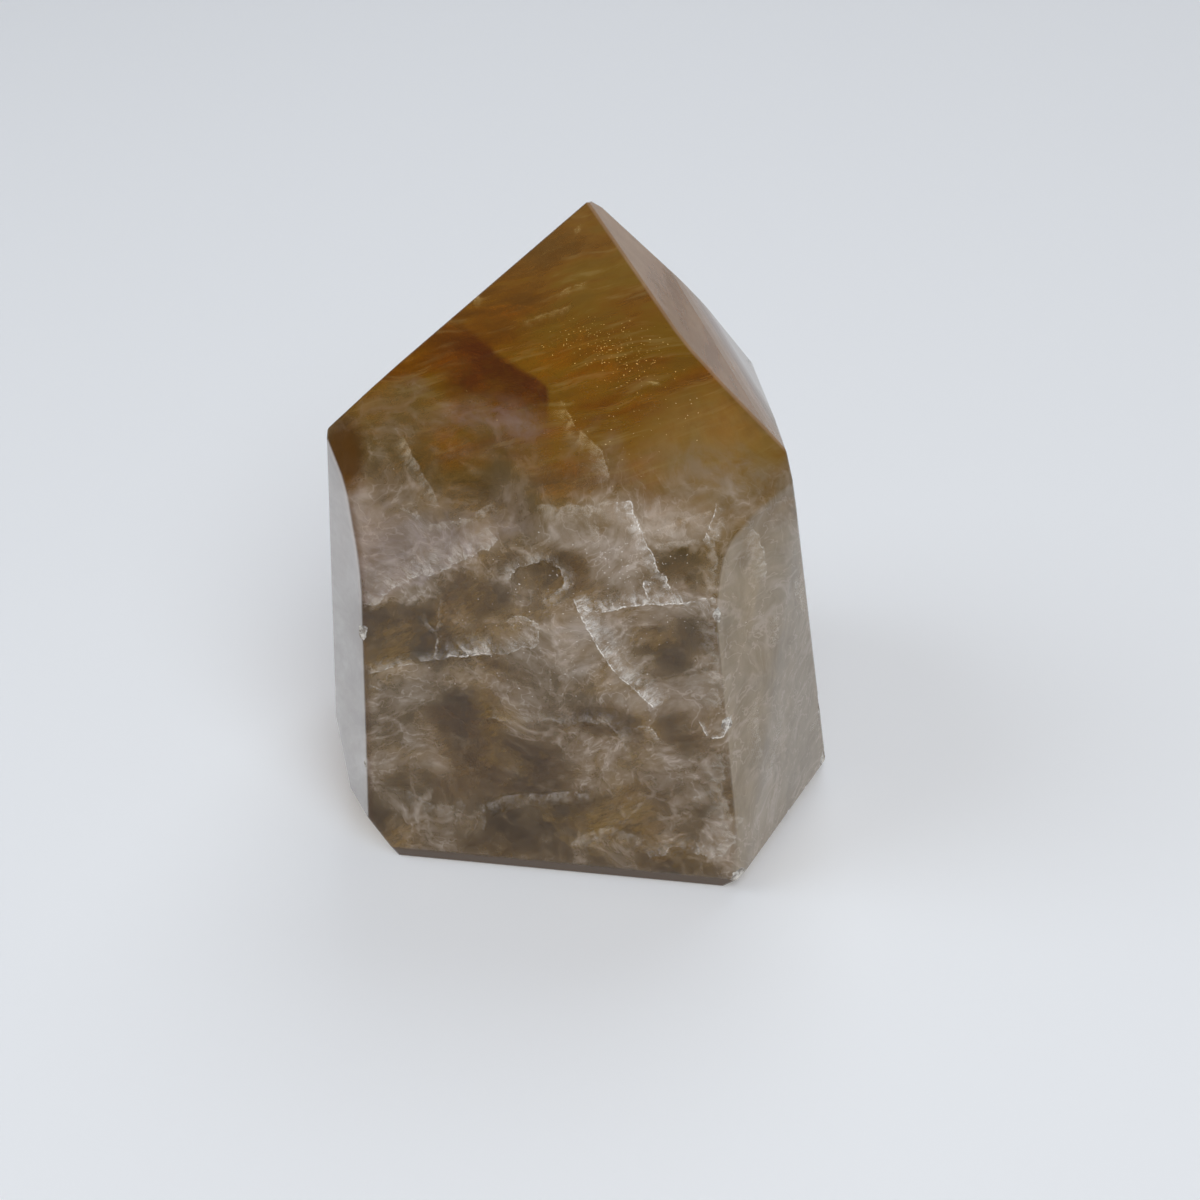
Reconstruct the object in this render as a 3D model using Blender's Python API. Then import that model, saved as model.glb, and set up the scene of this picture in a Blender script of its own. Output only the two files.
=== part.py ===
# A hand-ground quartz tower: one free-standing crystal with a blunt point and a flat foot.
# Metres, +Z up, standing on z = 0 with the middle of its outline over the origin.
import math

import bmesh
import bpy
from mathutils import Matrix, Vector

MM = 0.001

# The tower is a block that every facet is ground from, each square to its own direction.
HEIGHT = 67.2 * MM
BLOCK = 1.6 * HEIGHT

# A facet's reach is measured from this point, deep inside the stone.
HEART = Vector((0.0, 0.0, 32.1 * MM))

# Facets: the heading in degrees that the face looks to, counted from +X through +Y,
# its lift above the horizon in degrees, and its reach from the heart in millimetres.
SIDES = {
    "front": (-98.1, 4.6, 22.4),
    "left": (-147.4, 4.1, 30.8),
    "left_back": (178.2, 2.4, 27.8),
    "back_left": (137.0, 4.0, 27.95),
    "back": (94.0, 4.0, 24.3),
    "back_right": (46.0, 5.0, 27.75),
    "right_back": (5.4, 10.0, 22.6),
    "right_low": (-29.2, 2.1, 27.55),
    "right_high": (-51.7, 8.2, 27.95),
}
CROWN = {
    "brow": (-98.0, 18.5, 22.8),
    "crown_front_low": (-94.5, 45.0, 23.3),
    "crown_front_high": (-101.0, 64.0, 26.55),
    "crown_shoulder": (-67.9, 47.2, 27.25),
    "crown_right": (5.3, 48.0, 26.85),
    "crown_right_low": (11.7, 35.4, 25.6),
    "crown_back_right_low": (40.1, 34.3, 27.2),
    "crown_back_right": (53.1, 28.8, 27.3),
    "crown_back_right_high": (65.2, 23.8, 26.3),
    "crown_back": (99.0, 31.0, 28.7),
    "crown_back_left": (132.0, 40.0, 30.5),
    "crown_left": (148.0, 35.9, 25.55),
    "tip": (-39.8, 78.6, 32.9),
}
FOOT = {
    "base": (0.0, -90.0, 32.1),
    "foot_front": (-97.8, -15.0, 31.8),
    "foot_right": (-29.2, -45.0, 41.48),
    "foot_left_front": (-147.4, -45.0, 44.57),
    "foot_corner": (-156.5, -26.9, 40.15),
    "foot_left": (-174.5, -7.6, 32.2),
}
FACETS = {**SIDES, **CROWN, **FOOT}

# Ridges that the polishing wheel rolled over: a narrow flat lies along each of them.
ROLLED = (
    ("front", "brow"),
    ("brow", "crown_front_low"),
    ("crown_front_low", "crown_front_high"),
    ("crown_front_low", "crown_shoulder"),
    ("right_high", "right_low"),
    ("crown_right", "crown_right_low"),
    ("crown_back_right_low", "crown_back_right"),
    ("crown_back_right", "crown_back_right_high"),
)
ROLLED_DEPTH = 0.22

# Every sharper edge is only broken: a flat this far in along each face takes its sharpness.
BROKEN_WIDTH = 0.26 * MM
SHARP_ANGLE = math.radians(17.0)

# Chips knocked out of the edges, each a shell-shaped hollow. Two facets name the edge, and
# a distance along one axis in millimetres says where on it. Then come the hollow's radius
# and its depth in millimetres, and how many times longer it is along the edge than across.
CHIPS = (
    ("front", "left", "z", 31.2, 1.4, 0.4, 1.2),
    ("front", "left", "z", 13.6, 1.2, 0.3, 1.4),
    ("front", "right_high", "z", 36.7, 1.3, 0.35, 1.6),
    ("front", "right_high", "z", 23.5, 1.7, 0.5, 1.0),
    ("front", "right_low", "z", 20.7, 1.5, 0.45, 1.7),
    ("front", "right_low", "z", 2.5, 3.2, 0.9, 1.0),
    ("right_low", "right_back", "z", 3.9, 3.6, 1.0, 1.0),
    ("right_low", "right_back", "z", 13.2, 2.4, 0.5, 1.8),
    ("right_low", "foot_right", "x", 23.7, 1.3, 0.45, 1.0),
    ("right_low", "foot_right", "x", 26.2, 1.1, 0.4, 1.2),
    ("crown_right", "crown_back_right", "z", 56.4, 2.4, 0.55, 1.2),
    ("back", "back_right", "z", 24.1, 2.2, 0.5, 1.6),
    ("back_left", "base", "x", -18.0, 1.6, 0.4, 1.4),
)
AXES = {"x": Vector((1, 0, 0)), "y": Vector((0, 1, 0)), "z": Vector((0, 0, 1))}

CRYSTAL_COLOUR = (0.45, 0.35, 0.22, 1.0)


def outward(heading, lift):
    level = math.cos(math.radians(lift))
    return Vector((
        level * math.cos(math.radians(heading)),
        level * math.sin(math.radians(heading)),
        math.sin(math.radians(lift)),
    ))


def facet_plane(name):
    # The facet as its outward direction and how far along it the facet lies from the origin.
    heading, lift, reach = FACETS[name]
    direction = outward(heading, lift)
    return direction, direction.dot(HEART) + reach * MM


def rolled_plane(first, second):
    # Halfway between two facets, set in from their ridge.
    direction_a, distance_a = facet_plane(first)
    direction_b, distance_b = facet_plane(second)
    total = direction_a + direction_b
    distance = (distance_a + distance_b) / total.length
    return total.normalized(), distance - ROLLED_DEPTH * MM


def broken_planes(crystal):
    # One plane for each sharp edge, square to the middle direction of its two faces.
    crystal.normal_update()
    planes = []
    for edge in crystal.edges:
        angle = edge.calc_face_angle()
        if angle > SHARP_ANGLE:
            direction = (edge.link_faces[0].normal + edge.link_faces[1].normal).normalized()
            depth = BROKEN_WIDTH * math.sin(angle / 2)
            planes.append((direction, direction.dot(edge.verts[0].co) - depth))
    return planes


def grind(crystal, plane):
    # Takes off all that lies outside the plane and closes the cut with one flat face.
    direction, distance = plane
    bmesh.ops.bisect_plane(
        crystal,
        geom=crystal.verts[:] + crystal.edges[:] + crystal.faces[:],
        dist=1e-7,
        plane_co=direction * distance,
        plane_no=direction,
        clear_outer=True,
    )
    rim = [edge for edge in crystal.edges if edge.is_boundary]
    bmesh.ops.holes_fill(crystal, edges=rim, sides=0)


def make_material():
    material = bpy.data.materials.new("smoky_quartz")
    material.use_nodes = True
    principled = material.node_tree.nodes["Principled BSDF"]
    principled.inputs["Base Color"].default_value = CRYSTAL_COLOUR
    principled.inputs["Roughness"].default_value = 0.06
    principled.inputs["Metallic"].default_value = 0.0
    principled.inputs["IOR"].default_value = 1.544
    principled.inputs["Transmission Weight"].default_value = 1.0
    material.diffuse_color = CRYSTAL_COLOUR
    return material


def make_crystal(collection):
    crystal = bmesh.new()
    bmesh.ops.create_cube(crystal, size=BLOCK, matrix=Matrix.Translation(HEART))
    for name in FACETS:
        grind(crystal, facet_plane(name))
    for first, second in ROLLED:
        grind(crystal, rolled_plane(first, second))
    for plane in broken_planes(crystal):
        grind(crystal, plane)
    mesh = bpy.data.meshes.new("crystal")
    crystal.to_mesh(mesh)
    crystal.free()
    tower = bpy.data.objects.new("crystal", mesh)
    collection.objects.link(tower)
    mesh.materials.append(make_material())
    return tower


def chip_frame(first, second, axis, along):
    # The chip's place on its edge, and a turn that takes +X along the edge and +Z outward.
    direction_a, distance_a = facet_plane(first)
    direction_b, distance_b = facet_plane(second)
    planes = Matrix((direction_a, direction_b, AXES[axis]))
    place = planes.inverted() @ Vector((distance_a, distance_b, along * MM))
    out = (direction_a + direction_b).normalized()
    edge = direction_a.cross(direction_b).normalized()
    turn = Matrix((edge, out.cross(edge), out)).transposed()
    return place, out, turn


def make_chip(number, chip, collection):
    first, second, axis, along, radius, depth, stretch = chip
    place, out, turn = chip_frame(first, second, axis, along)
    hollow = bmesh.new()
    bmesh.ops.create_icosphere(hollow, subdivisions=3, radius=radius * MM)
    bmesh.ops.scale(hollow, vec=(stretch, 1.0, 1.0), verts=hollow.verts[:])
    bmesh.ops.rotate(hollow, cent=(0, 0, 0), matrix=turn, verts=hollow.verts[:])
    bmesh.ops.translate(hollow, vec=place + out * (radius - depth) * MM, verts=hollow.verts[:])
    mesh = bpy.data.meshes.new(f"chip_{number}")
    hollow.to_mesh(mesh)
    hollow.free()
    cutter = bpy.data.objects.new(f"chip_{number}", mesh)
    collection.objects.link(cutter)
    cutter.hide_render = True
    cutter.display_type = "WIRE"
    return cutter


def cut_chips(tower, collection):
    for number, chip in enumerate(CHIPS, start=1):
        cut = tower.modifiers.new(f"chip_{number}", "BOOLEAN")
        cut.operation = "DIFFERENCE"
        cut.solver = "EXACT"
        cut.object = make_chip(number, chip, collection)


def new_collection(name):
    collection = bpy.data.collections.new(name)
    bpy.context.scene.collection.children.link(collection)
    return collection


def main():
    for thing in list(bpy.data.objects):
        bpy.data.objects.remove(thing, do_unlink=True)
    tower = make_crystal(new_collection("quartz_tower"))
    cut_chips(tower, new_collection("cutters"))


main()
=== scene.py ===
import math
import random
from types import SimpleNamespace

import bmesh
import bpy
from mathutils import Matrix, Vector, noise


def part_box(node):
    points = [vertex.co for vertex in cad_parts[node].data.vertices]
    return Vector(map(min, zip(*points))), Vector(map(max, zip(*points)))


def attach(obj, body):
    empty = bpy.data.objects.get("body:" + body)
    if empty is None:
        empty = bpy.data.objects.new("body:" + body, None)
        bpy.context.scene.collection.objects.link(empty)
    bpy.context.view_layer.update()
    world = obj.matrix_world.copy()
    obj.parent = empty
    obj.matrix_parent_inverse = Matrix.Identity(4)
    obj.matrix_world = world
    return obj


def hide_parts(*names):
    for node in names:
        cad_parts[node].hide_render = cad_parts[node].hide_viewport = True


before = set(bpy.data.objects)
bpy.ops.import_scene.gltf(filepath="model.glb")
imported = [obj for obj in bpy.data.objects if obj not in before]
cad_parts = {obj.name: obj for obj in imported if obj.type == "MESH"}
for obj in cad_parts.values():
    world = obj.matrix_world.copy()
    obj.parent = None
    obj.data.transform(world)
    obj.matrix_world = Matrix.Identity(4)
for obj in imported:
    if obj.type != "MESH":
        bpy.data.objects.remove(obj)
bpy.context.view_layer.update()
mm = 0.001
footRise = 2.1  # mm from the foot up to where places inside the stone are measured from

cameraSet = {
    "place": (1.46, -192.6, 161.2),  # mm
    "tilt": 54.0,  # degrees up from looking straight down
    "sensor": 36.0,
    "lens": 60.0,
    "nearest": 0.01,  # metres, what the camera sees is between these
    "farthest": 20.0,
}

lightSet = {
    "horizonColour": (0.93, 0.95, 1.0),
    "horizonStrength": 0.58,
    "zenithStrength": 0.09,
    "bandTop": 0.55,  # height of the bright band round the horizon, 1 is straight up
    "clearBounces": 20,
    "bounces": 7,
    "glassBounces": 6,
    "diffuseBounces": 3,
    "panels": (
        # name, place in mm, size in mm, power in watts, colour
        ("frontPanel", (180, -600, 820), 760, 6.9, (1.0, 0.99, 0.97)),
        ("leftPanel", (-600, -60, 640), 560, 1.8, (0.95, 0.975, 1.0)),
        ("backPanel", (160, 520, 700), 600, 1.9, (0.98, 0.99, 1.0)),
    ),
}

floorSet = {
    "width": 1700,  # mm
    "below": 0.02,  # mm of air under the foot
    "colour": (0.835, 0.865, 0.91),
    "roughness": 0.6,
}


def say(words):
    print("scene:", words)


def selectNone():
    if bpy.context.object and bpy.context.object.mode != "OBJECT":
        bpy.ops.object.mode_set(mode="OBJECT")
    bpy.ops.object.select_all(action="DESELECT")


def takeUp(piece):
    selectNone()
    piece.select_set(True)
    bpy.context.view_layer.objects.active = piece


def point(place):
    return Vector(place) * mm


class Wire:
    # An output socket that can be added, multiplied and so on.
    def __init__(self, paint, socket):
        self.paint = paint
        self.socket = socket

    def maths(self, operation, *values):
        return self.paint.node(
            "ShaderNodeMath", {"operation": operation}, dict(enumerate(values))
        )

    def __add__(self, other):
        return self.maths("ADD", self, other)

    def __radd__(self, other):
        return self.maths("ADD", other, self)

    def __sub__(self, other):
        return self.maths("SUBTRACT", self, other)

    def __rsub__(self, other):
        return self.maths("SUBTRACT", other, self)

    def __mul__(self, other):
        return self.maths("MULTIPLY", self, other)

    def __rmul__(self, other):
        return self.maths("MULTIPLY", other, self)

    def __truediv__(self, other):
        return self.maths("DIVIDE", self, other)

    def __neg__(self):
        return self.maths("MULTIPLY", self, -1.0)

    def least(self, other):
        return self.maths("MINIMUM", self, other)

    def most(self, other):
        return self.maths("MAXIMUM", self, other)

    def size(self):
        return self.maths("ABSOLUTE", self)

    def between(self, low, high):
        # 0 below low, 1 above high, and a soft step from one to the other.
        return self.paint.node(
            "ShaderNodeMapRange",
            {"interpolation_type": "SMOOTHSTEP"},
            {"Value": self, "From Min": low, "From Max": high},
        )


class Paint:
    def __init__(self, holder):
        self.holder = holder
        holder.use_nodes = True
        self.tree = holder.node_tree
        self.tree.nodes.clear()

    def node(self, kind, settings=None, values=None, out=0):
        made = self.tree.nodes.new(kind)
        for key, value in (settings or {}).items():
            setattr(made, key, value)
        for key, value in (values or {}).items():
            socket = made.inputs[key]
            if isinstance(value, Wire):
                self.tree.links.new(value.socket, socket)
            else:
                socket.default_value = value
        return Wire(self, made.outputs[out]) if len(made.outputs) else None

    def split(self, vector):
        parts = self.tree.nodes.new("ShaderNodeSeparateXYZ")
        self.tree.links.new(vector.socket, parts.inputs[0])
        return [Wire(self, output) for output in parts.outputs]

    def blend(self, share, first, second):
        # Colours: the first where share is 0 and the second where it is 1.
        made = self.tree.nodes.new("ShaderNodeMix")
        made.data_type = "RGBA"
        for socket, value in ((0, share), (6, first), (7, second)):
            if isinstance(value, Wire):
                self.tree.links.new(value.socket, made.inputs[socket])
            elif socket == 0:
                made.inputs[socket].default_value = value
            else:
                made.inputs[socket].default_value = (*value, 1.0)
        return Wire(self, made.outputs[2])


say("camera, floor and light")


def makeCamera():
    camera = bpy.data.objects.new("mainCamera", bpy.data.cameras.new("mainCamera"))
    bpy.context.collection.objects.link(camera)
    camera.location = point(cameraSet["place"])
    camera.rotation_euler = (math.radians(cameraSet["tilt"]), 0.0, 0.0)
    camera.data.sensor_width = cameraSet["sensor"]
    camera.data.lens = cameraSet["lens"]
    camera.data.clip_start = cameraSet["nearest"]
    camera.data.clip_end = cameraSet["farthest"]
    bpy.context.scene.camera = camera


def makeSky():
    # Bright round the horizon like the walls of a light tent, dimmer overhead.
    world = bpy.data.worlds.new("studio")
    bpy.context.scene.world = world
    paint = Paint(world)
    _, _, height = paint.split(paint.node("ShaderNodeTexCoord", out="Generated"))
    fall = 1 - height.between(0.0, lightSet["bandTop"])
    low, high = lightSet["zenithStrength"], lightSet["horizonStrength"]
    sky = paint.node(
        "ShaderNodeBackground",
        values={
            "Color": (*lightSet["horizonColour"], 1.0),
            "Strength": low + (high - low) * fall,
        },
    )
    paint.node("ShaderNodeOutputWorld", values={"Surface": sky})


def makeLight():
    makeSky()
    for name, place, size, power, colour in lightSet["panels"]:
        panel = bpy.data.objects.new(name, bpy.data.lights.new(name, "AREA"))
        bpy.context.collection.objects.link(panel)
        panel.location = point(place)
        panel.rotation_euler = (-panel.location).to_track_quat("-Z", "Y").to_euler()
        panel.data.shape = "DISK"
        panel.data.size = size * mm
        panel.data.energy = power
        panel.data.color = colour
        panel.visible_glossy = False
    scene = bpy.context.scene
    scene.view_settings.view_transform = "Standard"
    scene.cycles.transparent_max_bounces = lightSet["clearBounces"]
    scene.cycles.max_bounces = lightSet["bounces"]
    scene.cycles.transmission_bounces = lightSet["glassBounces"]
    scene.cycles.diffuse_bounces = lightSet["diffuseBounces"]


def makeFloor():
    selectNone()
    bpy.ops.mesh.primitive_plane_add(
        size=floorSet["width"] * mm, location=(0, 0, -floorSet["below"] * mm)
    )
    floor = bpy.context.object
    floor.name = "paleFloor"
    paint = Paint(bpy.data.materials.new("paleFloor"))
    shade = paint.node(
        "ShaderNodeBsdfPrincipled",
        values={"Base Color": (*floorSet["colour"], 1.0), "Roughness": floorSet["roughness"]},
    )
    paint.node("ShaderNodeOutputMaterial", values={"Surface": shade})
    floor.data.materials.append(paint.holder)


makeCamera()
makeLight()
makeFloor()

crystalSet = {
    "leastFacet": 0.3,  # mm2, smaller faces of the frame's crystal are chips
    "mainFacets": 40,  # the largest facets bound the stone, but for its broken edges
    "mergeGap": 0.001,  # mm between corners that are one corner
    "mergeAngle": 0.6,  # degrees between faces that are one face
    "flatness": 0.004,  # mm that the stone may stand past one of its own facets
    "leastCut": 0.002,  # mm, a facet that would take off less is left out
    "twinAngle": 0.8,  # degrees, faces closer than this in direction are one facet
    "block": 200.0,  # mm
    "deepestFlat": 0.6,  # mm, the most that a flat along a ridge is set in
    "middleAngle": 0.12,  # degrees, how near a flat lies to the middle of its two facets
    "flatAngle": 2.4,  # degrees from one narrow flat to the next on a rolled ridge
    "mostFlats": 10,
    # the ways that the named facets look: heading and lift in degrees
    "facing": {
        "front": (-98, 5),
        "left": (-147, 4),
        "rightHigh": (-52, 8),
        "rightLow": (-29, 2),
        "rightBack": (5, 10),
        "back": (94, 4),
        "backRight": (46, 5),
        "backLeft": (137, 4),
        "crownFrontLow": (-94, 45),
        "crownRight": (8, 47),
        "crownBackRight": (52, 31),
        "footRight": (-29, -45),
        "base": (0, -90),
    },
    # two facets, an axis and a place along it that name a spot on their edge, then the
    # chip's radius and depth, all in mm, and how many times longer than wide it is
    "chips": (
        ("front", "left", "z", 31.2, 1.4, 0.4, 1.2),
        ("front", "left", "z", 13.6, 1.2, 0.3, 1.4),
        ("front", "rightHigh", "z", 36.7, 1.3, 0.35, 1.6),
        ("front", "rightHigh", "z", 23.5, 1.7, 0.5, 1.0),
        ("front", "rightLow", "z", 20.7, 1.5, 0.45, 1.7),
        ("front", "rightLow", "z", 2.5, 3.2, 0.9, 1.0),
        ("rightLow", "rightBack", "z", 3.9, 3.6, 1.0, 1.0),
        ("rightLow", "rightBack", "z", 13.2, 2.4, 0.5, 1.8),
        ("rightLow", "footRight", "x", 23.7, 1.3, 0.45, 1.0),
        ("rightLow", "footRight", "x", 26.2, 1.1, 0.4, 1.2),
        ("crownRight", "crownBackRight", "z", 56.4, 2.4, 0.55, 1.2),
        ("back", "backRight", "z", 24.1, 2.2, 0.5, 1.6),
        ("backLeft", "base", "x", -18.0, 1.6, 0.4, 1.4),
    ),
    "ior": 1.544,
    "absorb": (0.50, 0.32, 0.10),
    "absorbDensity": 95.0,
    "passing": (0.86, 0.84, 0.80),  # how much lamplight a polished face lets in
}


def readFacets(node):
    # The flat faces of the frame's crystal, each as its outward direction and its reach.
    selectNone()
    gauge = node.copy()
    gauge.data = node.data.copy()
    bpy.context.collection.objects.link(gauge)
    takeUp(gauge)
    bpy.ops.object.mode_set(mode="EDIT")
    bpy.ops.mesh.select_all(action="SELECT")
    bpy.ops.mesh.remove_doubles(threshold=crystalSet["mergeGap"] * mm)
    bpy.ops.mesh.dissolve_limited(angle_limit=math.radians(crystalSet["mergeAngle"]))
    bpy.ops.object.mode_set(mode="OBJECT")
    found = []
    twin = math.radians(crystalSet["twinAngle"])
    for face in sorted(gauge.data.polygons, key=lambda face: -face.area):
        reach = face.normal.dot(face.center)
        proud = max(face.normal.dot(corner.co) for corner in gauge.data.vertices) - reach
        fresh = all(face.normal.angle(known) > twin for known, _ in found)
        broad = face.area > crystalSet["leastFacet"] * mm * mm
        if broad and fresh and proud < crystalSet["flatness"] * mm:
            found.append((face.normal.copy(), reach))
    bpy.data.objects.remove(gauge, do_unlink=True)
    return found


def boxSides(node):
    # The six sides of the box round the frame's crystal, so that nothing stands past them.
    lowest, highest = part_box(node)
    sides = []
    for axis in range(3):
        way = Vector([1.0 if axis == other else 0.0 for other in range(3)])
        sides += [(way, highest[axis]), (-way, -lowest[axis])]
    return sides


def facetTowards(name):
    heading, lift = (math.radians(angle) for angle in crystalSet["facing"][name])
    way = Vector(
        (math.cos(lift) * math.cos(heading), math.cos(lift) * math.sin(heading), math.sin(lift))
    )
    return min(facets, key=lambda facet: facet[0].angle(way))


def roundRidge(facetA, facetB, middle):
    # The run of narrow flats round one axis that touches both facets and the middle flat.
    (directionA, reachA), (directionB, reachB) = facetA, facetB
    total = directionA + directionB
    sunk = (reachA + reachB) / total.length - middle[1]
    if not 0.0 < sunk < crystalSet["deepestFlat"] * mm:
        return []
    radius = sunk / (2.0 / total.length - 1.0)
    angle = directionA.angle(directionB)
    steps = min(crystalSet["mostFlats"], round(math.degrees(angle) / crystalSet["flatAngle"]))
    across = (directionA - directionB).normalized()
    axisOut = (reachA + reachB - 2.0 * radius) / total.length
    axisAcross = (reachA - reachB) / (directionA - directionB).length
    axis = total.normalized() * axisOut + across * axisAcross
    flats = []
    for step in range(1, steps):
        direction = directionA.slerp(directionB, step / steps)
        flats.append((direction, direction.dot(axis) + radius))
    return flats


def roundRidges(facets):
    # A facet halfway between two others lies along their ridge, and is rounded off.
    nearly = math.radians(crystalSet["middleAngle"])
    flats = []
    for index, facetA in enumerate(facets):
        for facetB in facets[:index]:
            total = facetA[0] + facetB[0]
            for middle in facets:
                if total.length > 0.2 and middle[0].angle(total) < nearly:
                    flats += roundRidge(facetA, facetB, middle)
    return flats


def grind(facets, inset=0.0, fill=True):
    # Cuts the mesh in hand back to the facets, each moved in by the inset.
    inHand = bmesh.from_edit_mesh(bpy.context.object.data)
    for direction, reach in facets:
        proud = max((direction.dot(corner.co) for corner in inHand.verts), default=0.0)
        if proud < reach - inset + crystalSet["leastCut"] * mm:
            continue
        bpy.ops.mesh.select_all(action="SELECT")
        bpy.ops.mesh.bisect(
            plane_co=direction * (reach - inset),
            plane_no=direction,
            use_fill=fill,
            clear_outer=True,
            threshold=0.0001 * mm,
        )
        inHand = bmesh.from_edit_mesh(bpy.context.object.data)


facets = readFacets(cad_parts["crystal"])
mainFacets = facets[:crystalSet["mainFacets"]]
roundedFlats = roundRidges(facets)
say(f"{len(facets)} flat faces on the frame's crystal, {len(roundedFlats)} more round its ridges")


def makeCrystal():
    # Ground from one block, facet by facet, and then rounded along the rolled ridges.
    selectNone()
    bpy.ops.mesh.primitive_cube_add(size=crystalSet["block"] * mm)
    crystal = bpy.context.object
    crystal.name = "polishedCrystal"
    bpy.ops.object.mode_set(mode="EDIT")
    grind(facets + boxSides("crystal") + roundedFlats)
    bpy.ops.object.mode_set(mode="OBJECT")
    return crystal


def makeChip(number, chip):
    # A rippled shell-shaped hollow, turned to lie along its edge.
    first, second, axis, along, radius, depth, stretch = chip
    (directionA, reachA), (directionB, reachB) = facetTowards(first), facetTowards(second)
    axisWay = Vector([1.0 if axis == name else 0.0 for name in "xyz"])
    rows = Matrix((directionA, directionB, axisWay))
    place = rows.inverted() @ Vector((reachA, reachB, along * mm))
    out = (directionA + directionB).normalized()
    edge = directionA.cross(directionB).normalized()
    turn = Matrix((edge, out.cross(edge), out)).transposed().to_4x4()
    selectNone()
    bpy.ops.mesh.primitive_ico_sphere_add(subdivisions=4, radius=radius * mm)
    hollow = bpy.context.object
    hollow.name = f"chipHollow{number}"
    ripple = bpy.data.textures.new(hollow.name, "CLOUDS")
    ripple.noise_scale = 0.95 * radius * mm
    ripple.noise_depth = 3
    push = hollow.modifiers.new("ripple", "DISPLACE")
    push.texture = ripple
    push.strength = 0.8 * radius * mm
    push.mid_level = 0.6
    bpy.ops.object.modifier_apply(modifier="ripple")
    hollow.data.transform(Matrix.Diagonal((stretch, 1.0, 1.0, 1.0)))
    hollow.data.transform(Matrix.Translation(place + out * (radius - depth) * mm) @ turn)
    hollow.data.materials.append(chipPaint)
    return hollow


def cutChips(crystal):
    # Each hollow brings its own finish onto the faces that it leaves.
    for number, chip in enumerate(crystalSet["chips"]):
        hollow = makeChip(number, chip)
        takeUp(crystal)
        cut = crystal.modifiers.new("chip", "BOOLEAN")
        cut.operation = "DIFFERENCE"
        cut.solver = "EXACT"
        cut.material_mode = "TRANSFER"
        cut.object = hollow
        bpy.ops.object.modifier_apply(modifier="chip")
        bpy.data.objects.remove(hollow, do_unlink=True)


class StonePaint(Paint):
    # Patterns are worked out in millimetres.
    def __init__(self, name):
        super().__init__(bpy.data.materials.new(name))
        place = self.node("ShaderNodeTexCoord", out="Object")
        self.spot = self.stretch(place, (mm, mm, mm), shift=(0, 0, footRise * mm))
        self.x, self.y, self.z = self.split(self.spot)

    def stretch(self, place, lengths, turn=(0, 0, 0), shift=(0, 0, 0)):
        # Makes a pattern this many times longer along its own axes, after they are turned.
        return self.node(
            "ShaderNodeMapping",
            {"vector_type": "TEXTURE"},
            {
                "Vector": place,
                "Location": shift,
                "Rotation": tuple(math.radians(angle) for angle in turn),
                "Scale": lengths,
            },
        )

    def grain(self, place, length=1.0, detail=4.0, rough=0.55, out=0):
        return self.node(
            "ShaderNodeTexNoise",
            values={"Vector": place, "Scale": 1 / length, "Detail": detail, "Roughness": rough},
            out=out,
        )

    def warp(self, place, length, reach):
        # Moves each point by up to the reach, so that straight patterns wander.
        push = self.grain(place, length, 2.0, out=1)
        centred = self.node(
            "ShaderNodeVectorMath", {"operation": "SUBTRACT"}, {0: push, 1: (0.5, 0.5, 0.5)}
        )
        return self.node(
            "ShaderNodeVectorMath",
            {"operation": "MULTIPLY_ADD"},
            {0: centred, 1: (2 * reach,) * 3, 2: place},
        )

    def web(self, place, cell):
        # How far from the nearest wall between cells of about this size, in cells.
        return self.node(
            "ShaderNodeTexVoronoi",
            {"feature": "DISTANCE_TO_EDGE"},
            {"Vector": place, "Scale": 1.0 / cell},
        )

    def thread(self, pattern, width):
        # Thin wandering lines where a pattern passes its middle value.
        return 1 - (pattern - 0.5).size().between(0.0, width)

    def beside(self, name, width):
        # 1 on the named facet, falling to 0 this far in from it.
        direction, reach = facetTowards(name)
        reach = reach / mm - footRise * direction.z
        along = self.node(
            "ShaderNodeVectorMath",
            {"operation": "DOT_PRODUCT"},
            {0: self.spot, 1: direction[:]},
            out="Value",
        )
        return along.between(reach - width, reach - 0.3 * width)

    def past(self, start, end, soft, wander):
        # 1 on the left of the line from start to end, which are (x, z) in mm, and 0 on its right.
        (xa, za), (xb, zb) = start, end
        length = math.hypot(xb - xa, zb - za)
        acrossX, acrossZ = (za - zb) / length, (xb - xa) / length
        gap = self.x * acrossX + self.z * acrossZ - (xa * acrossX + za * acrossZ)
        return (gap + wander).between(-soft, soft)

    def nearSpot(self, place, reach):
        # 1 at a place, falling to 0 at its reach (mm along x, y and z).
        gap = self.stretch(self.spot, reach, shift=place)
        far = self.node("ShaderNodeVectorMath", {"operation": "LENGTH"}, {0: gap}, out="Value")
        return 1 - far.between(0.35, 1.0)

    def mixed(self, share, first, second):
        # Numbers: the first where share is 0 and the second where it is 1.
        return self.node("ShaderNodeMix", {"data_type": "FLOAT"}, {0: share, 2: first, 3: second})

    def finishGlass(self, shade):
        # Lamps shine in through the polished faces, and the stone dims what passes through it.
        lamp = self.node("ShaderNodeLightPath", out="Is Shadow Ray")
        clear = self.node("ShaderNodeBsdfTransparent", values={"Color": (*crystalSet["passing"], 1.0)})
        shade = self.node("ShaderNodeMixShader", values={0: lamp, 1: shade, 2: clear})
        depth = self.node(
            "ShaderNodeVolumeAbsorption",
            values={
                "Color": (*crystalSet["absorb"], 1.0),
                "Density": crystalSet["absorbDensity"],
            },
        )
        self.node("ShaderNodeOutputMaterial", values={"Surface": shade, "Volume": depth})
        return self.holder


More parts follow.
